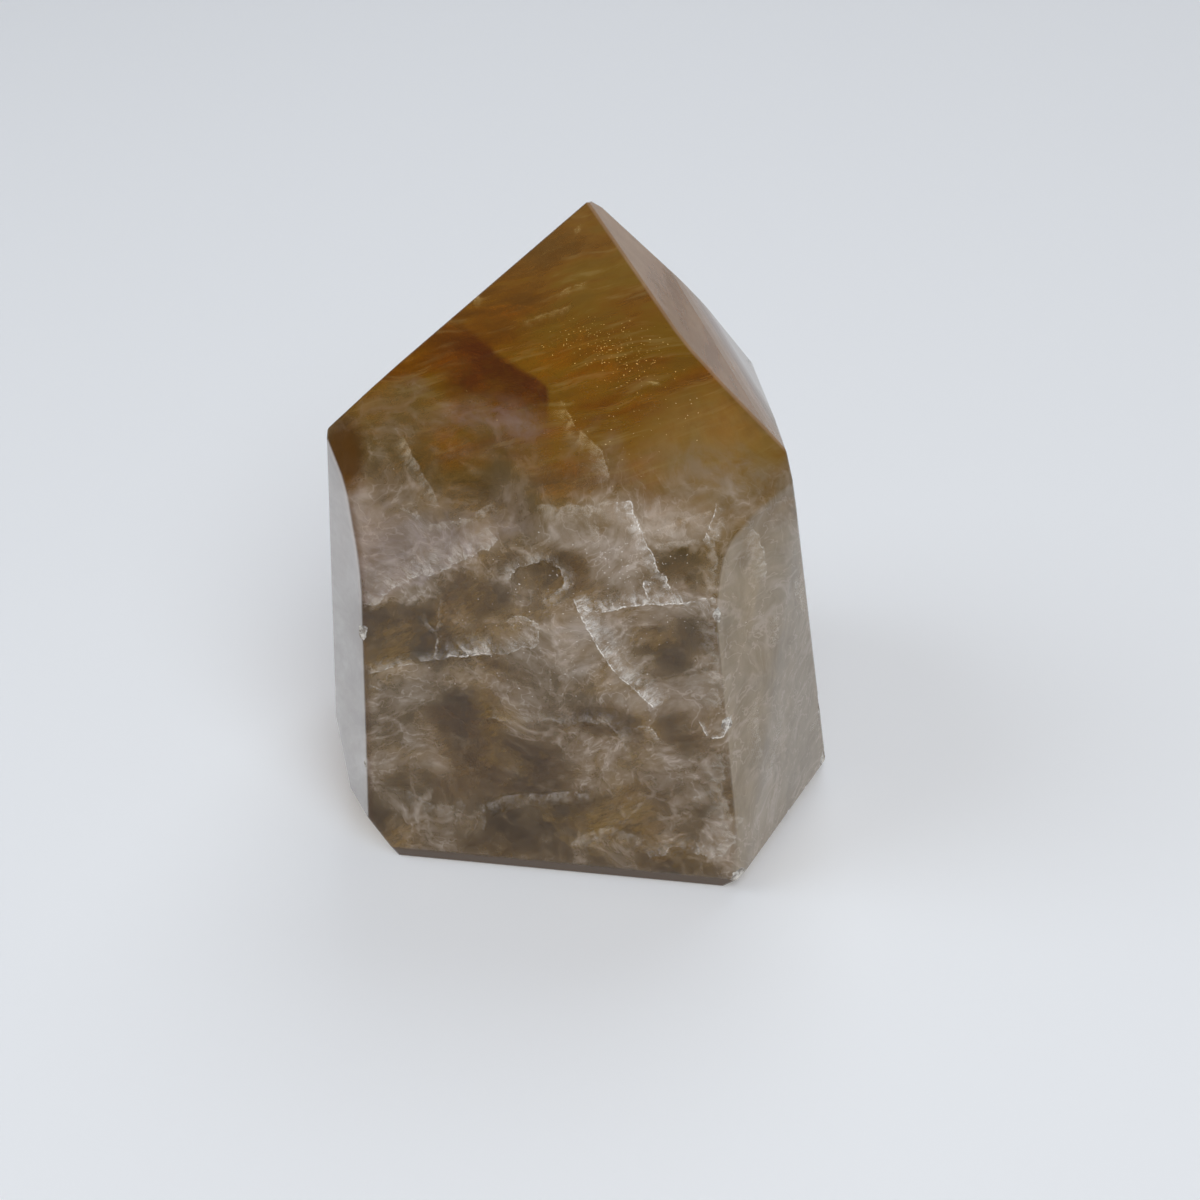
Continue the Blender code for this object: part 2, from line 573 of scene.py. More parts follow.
stoneSet = {
    # linear colours
    "smoke": (0.148, 0.080, 0.008),
    "smokeDeep": (0.080, 0.042, 0.005),
    "tan": (0.285, 0.20, 0.112),
    "milk": (0.57, 0.495, 0.435),
    "blush": (0.44, 0.355, 0.33),
    "amber": (0.228, 0.078, 0.001),
    "oliveGold": (0.220, 0.106, 0.005),
    "darkGold": (0.105, 0.034, 0.001),
    "paleGold": (0.50, 0.36, 0.13),
    "topHaze": (0.78, 0.62, 0.34),
    "mauve": (0.25, 0.155, 0.115),
    "oliveHaze": (0.33, 0.22, 0.06),
    "rust": (0.085, 0.017, 0.004),
    # painted shade: the dark of the shaded undercut under the front face
    "footShadeColour": (0.090, 0.055, 0.030),
    "smokyTint": (0.44, 0.27, 0.02),
    "goldTint": (0.58, 0.29, 0.01),
    "veilMilk": (0.56, 0.47, 0.37),
    "veilGold": (0.50, 0.21, 0.004),
    "crackGold": (0.80, 0.60, 0.26),
    "chipDull": (0.30, 0.25, 0.20),
    "chipBright": (0.70, 0.67, 0.62),
    "olive": (0.150, 0.092, 0.018),
    # painted light: pale greys for the bright backdrop seen in the left facet
    "pale": (0.69, 0.68, 0.68),
    "leftGlareDeep": (0.50, 0.475, 0.46),
    # painted reflection: pinkish beiges for the bright surroundings seen in the crown facet on the
    # right
    "crownGlare": (0.51, 0.335, 0.20),
    "crownGlareDark": (0.41, 0.255, 0.145),
    "sideDark": (0.26, 0.21, 0.145),
    "sidePale": (0.46, 0.395, 0.305),
    # where veils are thicker or thinner: place and reach in mm, and by how much
    "spots": (
        ((-20, -20, 29), (10, 9, 5), -0.18),
        ((-13, -21, 19), (6, 8, 5), -0.18),
        ((-9, -23, 13), (9, 9, 5), -0.12),
        ((9, -24, 31), (5, 8, 3.5), -0.09),
        ((2, -24, 20), (5, 7, 3), -0.14),
        ((-3, -21, 38), (4, 6, 3), -0.16),
        ((10, -22, 40), (3.5, 6, 2.5), -0.10),
        ((-12, -14, 48), (7, 9, 4.5), -0.13),
        ((0, -24, 3), (26, 12, 9), -0.07),
        ((5, -25, 15), (7, 8, 5), 0.08),
        ((2, -21, 43), (9, 9, 4), 0.12),
        ((3.5, -22, 39.5), (4.5, 8, 3.5), 0.15),
        ((9.5, -21, 43.5), (6, 8, 2.5), 0.16),
        ((1, -23, 30), (7, 9, 7), 0.12),
        ((9, -24, 36), (7, 8, 2.5), 0.08),
        ((13, -25, 26), (4, 8, 9), 0.10),
        ((15.5, -26, 5), (4, 9, 6), 0.16),
        ((-12, -20, 34.6), (5.5, 8, 3.0), -0.14),
        ((-19, -23, 9), (6, 9, 4), -0.08),
        ((2, -25, 7), (7, 8, 4), -0.08),
    ),
}


def layPatterns(paint):
    # What the layers of colour share: where the stone is clear, milky, torn or streaked.
    wide = paint.warp(paint.spot, 16.0, 5.0)
    loose = paint.warp(wide, 3.2, 1.1)
    cloud = 0.18 + 0.64 * paint.grain(loose, 7.0, 7.0, 0.62)
    for place, reach, amount in stoneSet["spots"]:
        cloud = cloud + paint.nearSpot(place, reach) * amount
    fine = paint.grain(paint.stretch(loose, (1.1, 1.0, 0.9), (0, -28, 0)), 1.5, 5.0, 0.66)
    broken = paint.grain(wide, 5.0, 3.0)
    cells = paint.web(paint.stretch(loose, (1.15, 1.15, 0.8), (0, -10, 0)), 3.7)
    gentle = paint.warp(paint.spot, 14.0, 1.6)
    haze = cloud.between(0.25, 0.82)
    walls = (1 - cells.between(0.0, 0.14)) * broken.between(0.40, 0.64) * fine.between(0.2, 0.6)
    lines = paint.thread(paint.grain(loose, 2.6, 3.0, 0.55), 0.020) * cloud.between(0.40, 0.56)
    texture = 0.78 + 0.38 * fine.between(0.30, 0.70)
    return SimpleNamespace(
        loose=loose,
        wander=paint.grain(wide, 8.0, 2.0),
        front=(-paint.y).between(-2.0, 6.0),
        cloud=cloud,
        fine=fine,
        broken=broken,
        haze=haze,
        walls=walls,
        lines=lines,
        texture=texture,
        veil=((haze * 0.68 + walls * 0.18) * texture + lines * 0.15).least(1.0),
        bands=paint.grain(paint.stretch(gentle, (20.0, 18.0, 3.4), (0, -12, 0)), 1.0, 6.0, 0.66),
        hairs=paint.grain(paint.stretch(gentle, (7.0, 5.0, 0.45), (0, -12, 0)), 1.0, 4.0, 0.62),
    )


def goldenTop(paint, laid, golden):
    # Streaks of iron gold, paler at the tip and hazy towards the right.
    gold = paint.blend(laid.bands.between(0.42, 0.60), stoneSet["amber"], stoneSet["oliveGold"])
    gold = paint.blend((1 - laid.bands.between(0.34, 0.50)) * 0.7, gold, stoneSet["darkGold"])
    gold = paint.blend((1 - laid.hairs.between(0.34, 0.52)) * 0.20, gold, stoneSet["darkGold"])
    gold = paint.blend(laid.hairs.between(0.52, 0.72) * 0.24, gold, stoneSet["paleGold"])
    rising = paint.z.between(54.0, 65.0) * 0.18 * laid.texture
    gold = paint.blend(rising, gold, stoneSet["paleGold"])
    tipHaze = paint.nearSpot((0.9, -2.0, 63.0), (3.4, 6.0, 2.0)) * 0.75
    gold = paint.blend(tipHaze * laid.fine.between(0.25, 0.75), gold, stoneSet["topHaze"])
    rightHaze = paint.nearSpot((14.0, -16.0, 49.5), (12.0, 12.0, 8.0)) * 0.6
    gold = paint.blend(rightHaze * laid.texture, gold, stoneSet["oliveHaze"])
    wisp = paint.nearSpot((16.0, -17.0, 46.5), (11.0, 10.0, 7.0)) * laid.broken.between(0.36, 0.62)
    gold = paint.blend(wisp * laid.fine.between(0.22, 0.66), gold, stoneSet["tan"])
    gold = paint.blend((1 - golden) * laid.veil * 0.6, gold, stoneSet["milk"])

    # rust in a three-cornered patch on the crown's front, and a dark band over it
    ragged = (laid.broken - 0.5) * 1.6
    patch = paint.past((-3.6, 53.4), (-12.8, 57.0), 0.3, ragged)
    patch = patch * paint.past((-4.0, 45.0), (-4.0, 55.0), 0.35, ragged)
    patch = patch * (paint.z + (laid.wander - 0.5) * 8).between(50.0, 54.0)
    patch = patch * (paint.x + (laid.wander - 0.5) * 5).between(-17.5, -11.5) * laid.front
    band = paint.nearSpot((-9.0, -9.0, 58.0), (9.0, 9.0, 1.5)) * 0.45
    gold = paint.blend((patch * 0.85).most(band) * laid.texture.least(1.0), gold, stoneSet["rust"])
    mauve = paint.nearSpot((-10.0, -11.0, 49.8), (8.0, 9.0, 3.6)) * laid.cloud.between(0.30, 0.60)
    return paint.blend(mauve * laid.fine.between(0.22, 0.66), gold, stoneSet["mauve"])


def smokyBody(paint, laid, goldFringe):
    # Smoke in the clear windows, tan and then milk where the veils are thicker.
    smoke = paint.blend(laid.cloud.between(0.32, 0.6), stoneSet["smokeDeep"], stoneSet["smoke"])
    smoke = paint.blend(laid.fine.between(0.36, 0.70) * 0.22, smoke, stoneSet["tan"])
    smoke = paint.blend(goldFringe * 0.6, smoke, stoneSet["olive"])
    smoke = paint.blend(laid.veil.between(0.0, 0.55), smoke, stoneSet["tan"])
    smoke = paint.blend(laid.veil.between(0.18, 0.95), smoke, stoneSet["milk"])
    return paint.blend(goldFringe * 0.16, smoke, stoneSet["oliveHaze"])


def rosyMist(paint, laid):
    # How much mist lies at the left shoulder, which has a sharp lower rim.
    ragged = (laid.broken - 0.5) * 4.0
    mist = paint.past((-25.0, 31.8), (-15.0, 37.2), 0.5, ragged)
    mist = mist * paint.past((-15.0, 37.2), (-8.5, 41.0), 0.8, ragged)
    mist = mist * (1 - (paint.x + (laid.wander - 0.5) * 8).between(-10.0, -3.0)) * laid.front
    mist = mist * (1 - (paint.z + (laid.wander - 0.5) * 8).between(40.5, 48.0))
    felt = paint.thread(paint.grain(laid.loose, 2.2, 3.0, 0.5), 0.05)
    return mist * (0.24 + 0.34 * laid.haze + 0.20 * felt) * laid.texture.least(1.0)


def paintCrystal():
    paint = StonePaint("smokyQuartz")
    laid = layPatterns(paint)

    # the golden part's border falls towards the right
    border = paint.z + (laid.wander - 0.5) * 13 + paint.x * 0.15
    golden = border.between(42.5, 51.5)
    mist = rosyMist(paint, laid)
    body = smokyBody(paint, laid, border.between(35.0, 46.0))
    colour = paint.blend(golden, body, goldenTop(paint, laid, golden))
    colour = paint.blend(mist, colour, stoneSet["blush"])
    share = paint.mixed(golden, (0.40 + 0.44 * laid.veil).most(mist * 0.9), 0.64)

    # darker at the upper-left corner, painted shade along the left edge, and painted shade on the
    # undercut at the front's foot, standing for the shadow that lies under it
    left = paint.beside("left", 0.22)
    corner = paint.nearSpot((-25.6, -14.0, 47.5), (3.2, 9.0, 6.0)) * 0.75
    # painted shade: a dark line along the front's left edge, standing for how the polished edge looks
    # dark in the light
    edge = (paint.beside("left", 0.75) - left).most(0.0) * 0.5 * laid.front
    darkCornerAndEdgeShade = corner.most(edge)
    # painted shade on the undercut along the front's foot, which lies in shadow
    footShade = (1 - paint.z.between(-0.45, 0.0)) * laid.front
    colour = paint.blend(darkCornerAndEdgeShade, colour, stoneSet["darkGold"])
    colour = paint.blend(footShade, colour, stoneSet["footShadeColour"])
    share = share.most(darkCornerAndEdgeShade * 0.8).most(footShade)

    # painted light on the left side: pale greys standing for the bright backdrop seen in the left
    # facet at a grazing angle
    leftGlare = paint.blend(laid.haze * laid.texture, stoneSet["leftGlareDeep"], stoneSet["pale"])
    colour = paint.blend(left * 0.85, colour, leftGlare)

    # painted reflection on the crown facet on the right: pinkish beiges standing for the bright
    # surroundings seen in it at a grazing angle
    crownGlare = paint.beside("crownRight", 0.30)
    blush = paint.blend(laid.cloud.between(0.40, 0.62), stoneSet["crownGlareDark"], stoneSet["crownGlare"])
    crownGlareShare = crownGlare * (0.60 + 0.18 * laid.bands.between(0.35, 0.6))
    colour = paint.blend(crownGlareShare, colour, blush)

    # the two sides on the right, smeared upwards with veils across them
    ridge = paint.beside("rightHigh", 1.2) * paint.beside("rightLow", 1.2)
    right = paint.beside("rightHigh", 0.22).most(paint.beside("rightLow", 0.22)).most(ridge)
    right = right * (1 - golden) * (1 - footShade)
    streak = paint.grain(paint.stretch(laid.loose, (1.6, 1.6, 6.0), (0, 5, 0)), 1.0, 4.0, 0.6)
    smear = 0.6 * streak.between(0.14, 0.86) + 0.4 * laid.haze * laid.texture
    side = paint.blend(smear, stoneSet["sideDark"], stoneSet["sidePale"])
    sideVeil = ((laid.lines * 2 + laid.walls) * 0.45).least(0.45)
    side = paint.blend(sideVeil, side, stoneSet["milk"])
    colour = paint.blend(right * 0.8, colour, side)
    share = share.most(left * 0.85).most(crownGlare * 0.70).most(right * 0.76)

    wobble = paint.node(
        "ShaderNodeBump",
        values={"Height": paint.grain(paint.spot, 6.0, 2.0), "Strength": 0.25, "Distance": 0.00012},
    )
    glass = paint.node(
        "ShaderNodeBsdfPrincipled",
        values={
            "Base Color": paint.blend(golden, stoneSet["smokyTint"], stoneSet["goldTint"]),
            "Roughness": 0.04,
            "IOR": crystalSet["ior"],
            "Transmission Weight": 1.0,
            "Normal": wobble,
        },
    )
    milky = paint.node(
        "ShaderNodeBsdfPrincipled",
        values={
            "Base Color": colour,
            "Roughness": 0.06,
            "IOR": crystalSet["ior"],
            "Normal": wobble,
        },
    )
    shade = paint.node("ShaderNodeMixShader", values={0: share, 1: glass, 2: milky})
    return paint.finishGlass(shade)


def paintChip():
    # Fresh breaks are frosted and pale.
    paint = StonePaint("brokenQuartz")
    speck = paint.grain(paint.spot, 0.6, 5.0, 0.7)
    colour = paint.blend(speck.between(0.35, 0.65), stoneSet["chipDull"], stoneSet["chipBright"])
    milky = paint.node(
        "ShaderNodeBsdfPrincipled",
        values={"Base Color": colour, "Roughness": 0.25, "IOR": crystalSet["ior"]},
    )
    glass = paint.node(
        "ShaderNodeBsdfPrincipled",
        values={
            "Base Color": (0.92, 0.90, 0.88, 1.0),
            "Roughness": 0.15,
            "IOR": crystalSet["ior"],
            "Transmission Weight": 1.0,
        },
    )
    share = 0.62 + 0.3 * speck.between(0.4, 0.62)
    shade = paint.node("ShaderNodeMixShader", values={0: share, 1: glass, 2: milky})
    return paint.finishGlass(shade)


chipPaint = paintChip()
crystal = makeCrystal()
crystal.data.materials.append(paintCrystal())
cutChips(crystal)
say(f"crystal: {len(crystal.data.polygons)} faces")
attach(crystal, "root")
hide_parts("crystal")


veilSet = {
    "inset": 0.4,  # mm from the polished faces to the veils' rims
    "cuts": 60,
    "crumple": 6,  # mm
    "rippleLength": 14,  # mm
    "rippleDepth": 3,
    # veils behind the front face: how far in, and how far they may turn and lean, in degrees
    "frontFrom": (0, -24, 28),
    "frontDepths": (2.5, 6, 11, 18),
    "frontFacing": (-98, 5),
    "frontTurn": 14,
    "frontLean": 12,
    "frontSize": 90,
    # veils anywhere in the stone
    "wildCount": 5,
    "wildReach": 14,
    "wildHeights": (8, 48),
    "wildLean": (-40, 60),
    "wildSize": 60,
}


def paintVeil(name):
    # Torn milky cloud, golden where it reaches the stained top.
    paint = StonePaint(name)
    cloud = paint.grain(paint.spot, 8.0, 5.0, 0.62)
    fibre = paint.grain(paint.stretch(paint.spot, (2.4, 1.0, 0.5), (0, -30, 0)), 1.0, 3.0, 0.7)
    alpha = cloud.between(0.47, 0.70) * (0.25 + 0.75 * fibre.between(0.32, 0.64))
    alpha = alpha + (1 - (cloud - 0.52).size().between(0.0, 0.012)) * 0.30
    golden = (paint.z + (cloud - 0.5) * 16).between(42.0, 50.0)
    colour = paint.blend(golden, stoneSet["veilMilk"], stoneSet["veilGold"])
    milky = paint.node(
        "ShaderNodeBsdfPrincipled",
        values={"Base Color": colour, "Roughness": 0.6, "Alpha": alpha.least(0.92)},
    )
    paint.node("ShaderNodeOutputMaterial", values={"Surface": milky})
    return paint.holder


def makeVeil(name, centre, heading, lift, size, paint):
    # A crumpled sheet through the stone, cut off under its polished faces.
    selectNone()
    bpy.ops.mesh.primitive_grid_add(
        x_subdivisions=veilSet["cuts"], y_subdivisions=veilSet["cuts"], size=size * mm
    )
    veil = bpy.context.object
    veil.name = name
    turned = Matrix.Rotation(math.radians(heading), 4, "Z")
    leaned = Matrix.Rotation(math.radians(90 - lift), 4, "Y")
    veil.data.transform(Matrix.Translation(point(centre)) @ turned @ leaned)
    ripple = bpy.data.textures.new(name + "Ripple", "CLOUDS")
    ripple.noise_scale = veilSet["rippleLength"] * mm
    ripple.noise_depth = veilSet["rippleDepth"]
    push = veil.modifiers.new("crumple", "DISPLACE")
    push.texture = ripple
    push.texture_coords = "LOCAL"
    push.strength = veilSet["crumple"] * mm
    push.mid_level = 0.5
    bpy.ops.object.modifier_apply(modifier="crumple")
    bpy.ops.object.mode_set(mode="EDIT")
    grind(mainFacets, inset=veilSet["inset"] * mm, fill=False)
    bpy.ops.object.mode_set(mode="OBJECT")
    bpy.ops.object.shade_smooth()
    veil.data.materials.append(paint)
    veil.visible_shadow = False
    veil.visible_diffuse = False
    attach(veil, "root")


crackSet = {
    "proud": 0.02,  # mm from the polished face to the sheets that stand for cracks
    "step": 0.25,  # mm from one point to the next
    "across": 8,  # faces across
    "overhang": 0.25,  # how far a sheet runs past its line on the hard side, against the soft
    "fadeLength": 0.9,  # mm over which a crack dies out at its ends
    "shake": ((0.9, 1.0), (2.9, 0.5)),  # waves to a mm of its ragged way, and how strong
    "plumeShift": 500,  # mm, so that no two plumes are alike
    "kinds": {
        # how bright the line itself is, how bright the soft side of it, and the colour
        "bright": (1.0, 0.60, (0.86, 0.83, 0.79)),
        "plain": (0.50, 0.38, (0.78, 0.73, 0.66)),
        "faint": (0.26, 0.28, (0.72, 0.66, 0.58)),
        "dim": (0.16, 0.13, (0.60, 0.44, 0.20)),
    },
    # name, kind, places (x, z) along it, width of its soft side, to the right of its way
    # or (below 0) to the left, and raggedness, all in mm
    "cracks": (
        (
            "raggedCrack", "bright",
            ((2.7, 44.9), (4.4, 45.0), (5.6, 43), (7.7, 39.2), (9.4, 36.5)),
            1.5, 0.45,
        ),
        ("crescent", "bright", ((6.2, 38.4), (6.1, 37), (6.9, 35.8), (9.0, 35.9)), -1.5, 0.25),
        ("hookCrack", "bright", ((9.8, 35.8), (11.9, 36.4), (13.4, 36.6), (13.1, 35.2)), 1.3, 0.3),
        ("faintLine", "bright", ((-0.5, 34.2), (1.2, 34.0), (5.7, 35.2), (10.9, 35.9)), -2.0, 0.15),
        (
            "curvedCrack", "bright",
            ((-1.4, 35.6), (-0.1, 32.2), (2.7, 27.1), (5.2, 24.5), (7.4, 22.2)),
            -3.2, 0.2,
        ),
        (
            "longCrack", "plain",
            ((-24, 23.4), (-20.9, 24.8), (-17, 26.1), (-12.6, 27.2), (-7.7, 28.1), (-5.5, 30.8)),
            -1.5, 0.2,
        ),
        ("plume", "bright", ((-15.2, 26.6), (-12.6, 27.2), (-9.5, 27.8)), -2.8, 0.4),
        (
            "paleVein", "faint",
            ((-2.7, 52.6), (-1.2, 50.7), (1.5, 48.9), (2, 47.8), (2.5, 46.6)),
            1.8, 0.3,
        ),
        ("shoulderVein", "faint", ((-19.6, 49.3), (-17.4, 46.8), (-15.3, 44.1)), 1.4, 0.3),
        (
            "mistRim", "plain",
            ((-23.8, 32.1), (-20.9, 34.5), (-17.6, 36.3), (-15.5, 37.3), (-12.2, 39), (-9, 41)),
            -3.0, 0.7,
        ),
        ("mistVein", "faint", ((-19.5, 43.5), (-16.5, 42.2), (-13.0, 42.8), (-9.5, 44.6)), 1.4, 0.6),
        ("rimVein", "faint", ((-5.3, 44.3), (-2.2, 44.6), (0.7, 44.7), (2.7, 44.9)), 1.8, 0.45),
        ("downVein", "faint", ((0.4, 44.7), (1.1, 42.8), (1.6, 41.0)), 1.0, 0.3),
        (
            "cellArc", "plain",
            ((-8.6, 36.3), (-6.9, 38.4), (-4.3, 39.1), (-2.5, 37.9), (-2.7, 36.1), (-4.9, 34.6)),
            -1.4, 0.35,
        ),
        (
            "blobRim", "plain",
            ((-8.7, 31.8), (-7, 32.7), (-5.2, 31.7), (-5, 29.9), (-6.3, 28.7), (-8.4, 28.9)),
            1.6, 0.5,
        ),
        (
            "lowArc", "faint",
            ((-10.9, 18.7), (-6.2, 19.1), (-2.2, 19.5), (2.4, 19.6), (4.4, 16.4)),
            -2.0, 0.6,
        ),
        ("lowHook", "plain", ((5.0, 19.6), (6.7, 19.8), (8.5, 17.9)), 0.9, 0.35),
        ("footLine", "faint", ((-11.6, 7.2), (-8.2, 8.8), (-3.5, 9.7), (1.0, 10.0)), 1.8, 0.4),
        ("footDrop", "faint", ((-11.7, 7.2), (-11.7, 3.5)), 0.8, 0.3),
        ("tick", "plain", ((-24.0, 22.2), (-22.4, 21.6)), 0.5, 0.15),
        ("leftDash", "plain", ((-16.7, 25.6), (-16.0, 29.6)), 0.4, 0.1),
        ("leftFork", "faint", ((-17.6, 32.0), (-16.3, 30.0), (-15.6, 33.8)), 0.6, 0.3),
        ("goldLine", "faint", ((6.6, 42.7), (10.8, 44.1), (13.1, 44.6)), 0.5, 0.12),
        ("goldLine2", "faint", ((7.2, 41.7), (11.8, 42.4)), 0.6, 0.15),
        ("yellowPatch", "bright", ((12.0, 42.4), (12.9, 43.4), (13.4, 45.3)), 1.5, 0.3),
        ("cornerVein", "faint", ((11.5, 10.5), (14.7, 12.3), (16.6, 5.0)), 1.6, 0.4),
        ("midArc", "plain", ((-4.9, 35.5), (-2.7, 36.3), (-2, 37.9)), 0.8, 0.25),
        ("sideVein", "faint", ((13.1, 44.0), (13.5, 40.7), (13.3, 36.6)), 1.2, 0.6),
        ("wedgeLeft", "bright", ((12.1, 21.5), (12.7, 20.2), (13.4, 19.0)), -0.6, 0.1),
        ("wedgeRight", "bright", ((13.4, 19.0), (14.8, 19.6), (15.8, 22.1)), -0.7, 0.15),
        ("sideBlotch", "plain", ((17.4, 43.0), (18.6, 39.5), (19.0, 36.0)), 1.8, 0.3),
        ("sideBlotch2", "plain", ((22.4, 33.5), (23.2, 30.5), (24.2, 27.0)), -1.3, 0.3),
        ("sideStreak", "faint", ((20.4, 31.5), (20.9, 27.5)), 1.2, 0.2),
        ("sideStreak2", "faint", ((18.5, 22.0), (19.4, 14.0)), 1.4, 0.3),
        ("sideStreak3", "faint", ((22.0, 16.5), (20.8, 9.5)), 1.2, 0.3),
        ("footCloud", "plain", ((7.0, 1.5), (10.5, 3.6), (15.0, 3.0), (17.5, 8.5)), -2.4, 0.7),
        ("footCloud2", "faint", ((-2.0, 3.0), (2.5, 5.5), (6.5, 4.5)), 2.2, 0.7),
        ("footBlob", "faint", ((-20.5, 8.5), (-17.5, 6.5), (-14.0, 7.0)), 2.2, 0.7),
        ("ridgeCloud", "faint", ((13.7, 34.5), (14.1, 28.0), (14.5, 23.0)), 3.0, 0.6),
        ("ridgeCloud2", "faint", ((14.6, 17.5), (15.4, 11.0), (16.4, 6.0)), 3.2, 0.7),
        ("goldDash", "plain", ((6.2, 54.2), (8.3, 54.2)), 0.35, 0.05),
        ("goldDash2", "dim", ((-3.4, 59.4), (0.2, 60.4)), 0.5, 0.08),
        ("goldDash3", "dim", ((-7.0, 57.6), (-1.5, 58.9)), 0.5, 0.1),
        ("needle", "bright", ((-1.4, 63.2), (-0.4, 63.6)), 0.35, 0.05),
        ("goldWisp", "plain", ((-12.2, 58.4), (-11.3, 59.2)), 0.7, 0.1),
    ),
    # cracks that wander over the other sides, and the ways that these face, in degrees
    "wildSides": (178, 137, 94, 46, 5),
    "wildEach": 5,
    "wildStarts": ((-14, 8), (6, 46)),  # mm to the right and up
    "wildStrides": (2, 3, 4),
    "wildStride": 4.5,  # mm
    "wildBend": 0.5,  # radians
    "wildTurn": 0.6,
    "wildKinds": ("plain", "faint", "faint"),
    "wildSoft": (0.7, 2.2),  # mm
    "wildRagged": 0.5,
    "fleckGather": 0.45,  # spread of the flecks about their middle, against their reach
    "fleckRim": 1.0,  # mm from the outside that no fleck stands in
    "fleckSides": (3, 4, 5),
    "fleckStretch": (1.0, 2.2),
    "flecks": {
        # painted glints: the bright colours of these specks stand for sparkles of light
        # how many, middle (x, z) and reach in mm, least and most radius in mm, and two colours
        "goldGlintFlecks": (
            170, (1.6, 57.0), (6.5, 1.7), 0.014, 0.045,
            (0.85, 0.46, 0.06), (0.95, 0.76, 0.36),
        ),
        "goldGlintFlecks2": (
            90, (5.2, 55.4), (4.0, 2.6), 0.014, 0.045,
            (0.85, 0.46, 0.06), (0.95, 0.76, 0.36),
        ),
        "goldGlintFlecks3": (
            60, (4.0, 51.0), (12.0, 5.0), 0.014, 0.04,
            (0.80, 0.52, 0.14), (0.95, 0.82, 0.50),
        ),
        "whiteGlints": (
            260, (-1.0, 33.0), (17.0, 12.0), 0.014, 0.045,
            (0.72, 0.68, 0.62), (0.95, 0.94, 0.92),
        ),
        "crackGlints": (
            90, (5.0, 39.5), (5.0, 4.0), 0.014, 0.045,
            (0.80, 0.78, 0.74), (0.97, 0.96, 0.95),
        ),
    },
}


def surfaceAt(spot, way):
    # Where the stone's surface is passed on the way out from a spot inside, in metres.
    far, normal = min(
        ((reach - out.dot(spot)) / out.dot(way), tuple(out))
        for out, reach in mainFacets
        if out.dot(way) > 0.02
    )
    return spot + way * far, Vector(normal)


def sideWays(heading):
    # The way out through a side, and the way to the right as one looks at it.
    angle = math.radians(heading)
    return (
        Vector((math.cos(angle), math.sin(angle), 0)),
        Vector((-math.sin(angle), math.cos(angle), 0)),
    )


def alongRoute(route, share):
    # A smooth curve through the places of a route, from share 0 to 1, and its direction.
    spans = len(route) - 1
    index = min(int(share * spans), spans - 1)
    t = share * spans - index
    a, b, c, d = (Vector(route[max(0, min(spans, index + step))]) for step in (-1, 0, 1, 2))
    square, cube = 2 * a - 5 * b + 4 * c - d, 3 * b - a - 3 * c + d
    place = 0.5 * (2 * b + (c - a) * t + square * t**2 + cube * t**3)
    return place, (c - a + 2 * square * t + 3 * cube * t**2).normalized()


def makeCrack(name, route, soft, ragged, paint, heading):
    # A torn sheet that lies against the polished face along its route.
    way, right = sideWays(heading)
    length = sum((Vector(b) - Vector(a)).length for a, b in zip(route, route[1:]))
    selectNone()
    bpy.ops.mesh.primitive_grid_add(
        x_subdivisions=max(6, round(length / crackSet["step"])),
        y_subdivisions=crackSet["across"],
        size=1.0,
    )
    crack = bpy.context.object
    crack.name = name
    gaps, alongs, fades = [], [], []
    start = random.uniform(0, crackSet["plumeShift"])
    for corner in crack.data.vertices:
        along, across = corner.co.x + 0.5, corner.co.y + 0.5
        (u, z), (alongU, alongZ) = alongRoute(route, along)
        side = (across * (1 + crackSet["overhang"]) - crackSet["overhang"]) * soft
        place = right * (u + alongZ * side) + Vector((0, 0, z - alongU * side))
        shake = Vector()
        for waves, strength in crackSet["shake"]:
            shake += strength * noise.noise_vector(place * waves)
        place += (right * shake.x + Vector((0, 0, shake.z))) * ragged
        place.z += footRise
        surface, out = surfaceAt(place * mm, way)
        corner.co = surface + out * crackSet["proud"] * mm
        gaps.append(side / soft * abs(soft))
        alongs.append(start + along * length)
        fades.append(min(1.0, min(along, 1 - along) * length / crackSet["fadeLength"]))
    for title, values in (("gap", gaps), ("along", alongs), ("fade", fades)):
        crack.data.attributes.new(title, "FLOAT", "POINT").data.foreach_set("value", values)
    bpy.ops.object.shade_smooth()
    crack.data.materials.append(paint)
    return crack


def paintCrack(name, line, glow, pale):
    # A thin glinting line, and a feathery plume that fades from it towards the soft side.
    paint = StonePaint(name)
    fade, gap, along = (
        paint.node("ShaderNodeAttribute", {"attribute_name": title}, out="Fac")
        for title in ("fade", "gap", "along")
    )
    across = paint.split(paint.node("ShaderNodeUVMap"))[1]
    tear = paint.grain(paint.spot, 1.1, 4.0, 0.6)
    fray = paint.grain(paint.spot, 0.42, 3.0, 0.6)
    glint = paint.grain(paint.spot, 0.2, 2.0).between(0.44, 0.60)
    plume = paint.node("ShaderNodeCombineXYZ", values={0: along / 0.35 + gap * 0.6, 1: gap / 1.6})
    fibre = paint.grain(plume, 1.0, 4.0, 0.6)
    gap = gap + (fray - 0.5) * 0.34
    thin = (1 - gap.size().between(0.015, 0.095)) * tear.between(0.36, 0.52)
    thin = thin * (0.45 + 0.55 * glint)
    soft = (1 - across.between(0.15, 1.0)) * gap.between(-0.16, 0.06) * tear.between(0.32, 0.60)
    soft = soft * (0.18 + 0.82 * fibre.between(0.36, 0.64))
    alpha = fade * (thin * line).most(soft * glow)
    golden = paint.z.between(46.0, 52.0)
    colour = paint.blend(golden, pale, stoneSet["crackGold"])
    shade = paint.node(
        "ShaderNodeBsdfPrincipled",
        values={"Base Color": colour, "Roughness": 0.12, "Alpha": alpha},
    )
    paint.node("ShaderNodeOutputMaterial", values={"Surface": shade})
    return paint.holder


